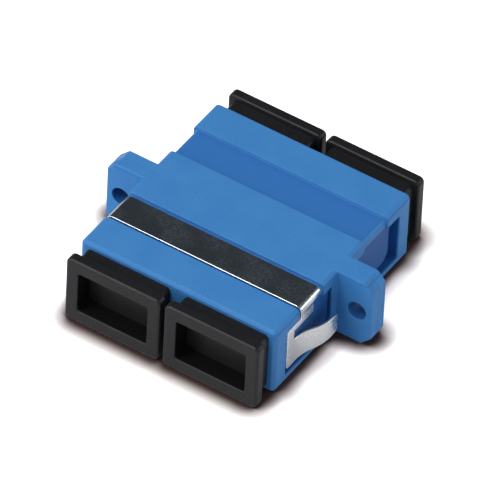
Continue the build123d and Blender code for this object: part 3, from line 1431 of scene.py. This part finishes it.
@dataclass(frozen=True)
class Softbox:
    """One square soft lamp, aimed at the adapter."""

    name: str
    place: Place
    side: float
    watts: float

    def build(self, aim: Vector) -> None:
        """Builds the lamp.

        Args:
            aim: The point that it shines at.
        """
        lamp = bpy.data.lights.new(self.name, "AREA")
        lamp.shape = "SQUARE"
        lamp.size = self.side
        lamp.energy = self.watts
        holder = bpy.data.objects.new(self.name, lamp)
        holder.location = self.place
        holder.rotation_euler = (Vector(self.place) - aim).to_track_quat("Z", "Y").to_euler()
        bpy.context.scene.collection.objects.link(holder)


LAMPS = (
    Softbox("key_softbox", place=(-0.16, -0.25, 0.47), side=0.24, watts=1.12),
    Softbox("low_softbox", place=(-0.28, -0.36, 0.10), side=0.20, watts=0.62),
    Softbox("top_softbox", place=(-0.14, -0.02, 0.46), side=0.24, watts=0.24),
    Softbox("rear_softbox", place=(0.30, 0.24, 0.14), side=0.20, watts=0.20),
)


@dataclass(frozen=True)
class Cone:
    """A round patch of the room: the way to its middle, and the cosines where it starts and is full."""

    way: Place
    rim: float
    core: float


@dataclass
class StudioRoom:
    """The room: white to look at, plain to be lit by, and with dark screens that the steel mirrors."""

    ambient: Colour = (0.49, 0.49, 0.51)
    bright_colour: Colour = (0.95, 0.95, 0.96)
    screen_colour: Colour = (0.046, 0.054, 0.064)
    screen: Cone = Cone((-0.37, 0.62, 0.695), rim=0.60, core=0.84)
    ceiling_share: float = 0.86
    ceiling_rise: Span = (0.30, 0.56)
    window: Cone = Cone((-0.37, -0.68, 0.605), rim=0.55, core=0.90)
    strip: Cone = Cone((0.74, 0.67, 0.0), rim=0.3, core=0.7)
    strip_height: float = 0.17
    strip_fade: Span = (0.07, 0.12)
    graph: NodeGraph = field(init=False)
    way: Socket = field(init=False)

    def build(self) -> None:
        """Builds the room as the scene's world."""
        world = bpy.data.worlds.new("studio_room")
        bpy.context.scene.world = world
        world.use_nodes = True
        self.graph = NodeGraph(world.node_tree)
        self.way = self.graph.add("ShaderNodeTexCoord").outputs["Generated"]
        rays = self.graph.add("ShaderNodeLightPath").outputs
        seen = self.background(WHITE)
        mirror_colour = self.graph.blended(self.screened(), self.bright_colour, self.screen_colour)
        lit, mirrored = self.background(self.ambient), self.background(mirror_colour)
        in_mirror = self.switch(rays["Is Glossy Ray"], lit, mirrored)
        in_view = self.switch(rays["Is Camera Ray"], in_mirror, seen)
        through = self.switch(rays["Is Transmission Ray"], in_view, seen)
        self.graph.join(through, self.graph.add("ShaderNodeOutputWorld").inputs["Surface"])

    def towards(self, cone: Cone) -> Socket:
        """Says how far a direction lies within a cone, from 0 to 1.

        Args:
            cone: The round patch of the room.

        Returns:
            The share.
        """
        dot = self.graph.add("ShaderNodeVectorMath")
        dot.operation = "DOT_PRODUCT"
        dot.inputs[1].default_value = Vector(cone.way).normalized()
        self.graph.join(self.way, dot.inputs[0])
        return self.graph.ranged(dot.outputs["Value"], (cone.rim, cone.core), (0.0, 1.0), smooth=True)

    def screened(self) -> Socket:
        """Says where the room is dark: the ceiling but for one window, a broad screen and a low strip.

        Returns:
            The share of darkness, from 0 to 1.
        """
        graph = self.graph
        height = graph.axes(self.way)[2]
        off_strip = graph.computed("ABSOLUTE", graph.computed("SUBTRACT", height, self.strip_height))
        level = graph.ranged(off_strip, self.strip_fade, (1.0, 0.0), smooth=True)
        strip = graph.product(level, self.towards(self.strip))
        overhead = graph.ranged(height, self.ceiling_rise, (0.0, 1.0), smooth=True)
        beside_window = graph.computed("SUBTRACT", 1.0, self.towards(self.window))
        ceiling = graph.product(overhead, self.ceiling_share, beside_window)
        return graph.computed("MAXIMUM", graph.computed("MAXIMUM", strip, ceiling), self.towards(self.screen))

    def background(self, colour: Socket | Colour) -> Socket:
        """Adds one background of a colour.

        Args:
            colour: A colour or a socket.

        Returns:
            The background.
        """
        node = self.graph.add("ShaderNodeBackground")
        self.graph.feed(colour, node.inputs["Color"])
        return node.outputs["Background"]

    def switch(self, share: Socket, first: Socket, second: Socket) -> Socket:
        """Adds a switch between two backgrounds.

        Args:
            share: How much of the second one shows.
            first: A background.
            second: A background.

        Returns:
            The background that shows.
        """
        node = self.graph.add("ShaderNodeMixShader")
        for source, target in zip((share, first, second), node.inputs):
            self.graph.join(source, target)
        return node.outputs["Shader"]


@dataclass
class ProductCamera:
    """The camera, from the front right and above as in the photograph."""

    azimuth_deg: float = 31.2
    elevation_deg: float = 43.9
    roll_deg: float = 3.0
    distance: float = 1.2
    aim: Place = (0.65 * MM, 0.0, 4.33 * MM)
    frame_width: float = 54.4 * MM

    def build(self) -> None:
        """Builds the camera and makes it the scene's."""
        azimuth, elevation, roll = map(math.radians, (self.azimuth_deg, self.elevation_deg, self.roll_deg))
        level_way = Vector((math.sin(azimuth), -math.cos(azimuth), 0.0))
        back = level_way * math.cos(elevation) + Vector((0.0, 0.0, math.sin(elevation)))
        right = Vector((0.0, 0.0, 1.0)).cross(back).normalized()
        up = back.cross(right)
        rolled_right = right * math.cos(roll) + up * math.sin(roll)
        rolled_up = up * math.cos(roll) - right * math.sin(roll)
        data = bpy.data.cameras.new("product_camera")
        data.lens = data.sensor_width * self.distance / self.frame_width
        holder = bpy.data.objects.new("product_camera", data)
        bpy.context.scene.collection.objects.link(holder)
        turn = Matrix((rolled_right, rolled_up, back)).transposed()
        holder.matrix_world = Matrix.Translation(Vector(self.aim) + back * self.distance) @ turn.to_4x4()
        bpy.context.scene.camera = holder


def main() -> None:
    """Builds the adapter's looks in order."""
    logging.basicConfig(level=logging.INFO, format="%(name)s: %(message)s")
    construction_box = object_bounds()
    bpy.context.scene.view_settings.view_transform = "Standard"
    ProductCamera().build()
    StudioRoom().build()
    Table().build(construction_box[0].z)
    middle = (construction_box[0] + construction_box[1]) / 2
    for lamp in LAMPS:
        lamp.build(middle)
    Housing().build(HOUSING_BLUE)
    PanelClip().build(CLIP_STEEL)
    InnerParts().build(LATCH_PLASTIC, SLEEVE_CERAMIC)
    cap_material = CAP_BLACK.build()
    for end in End:
        for side in Side:
            DustCap(end, side).build(CAP_BLACK, cap_material)


if __name__ == "__main__":
    main()
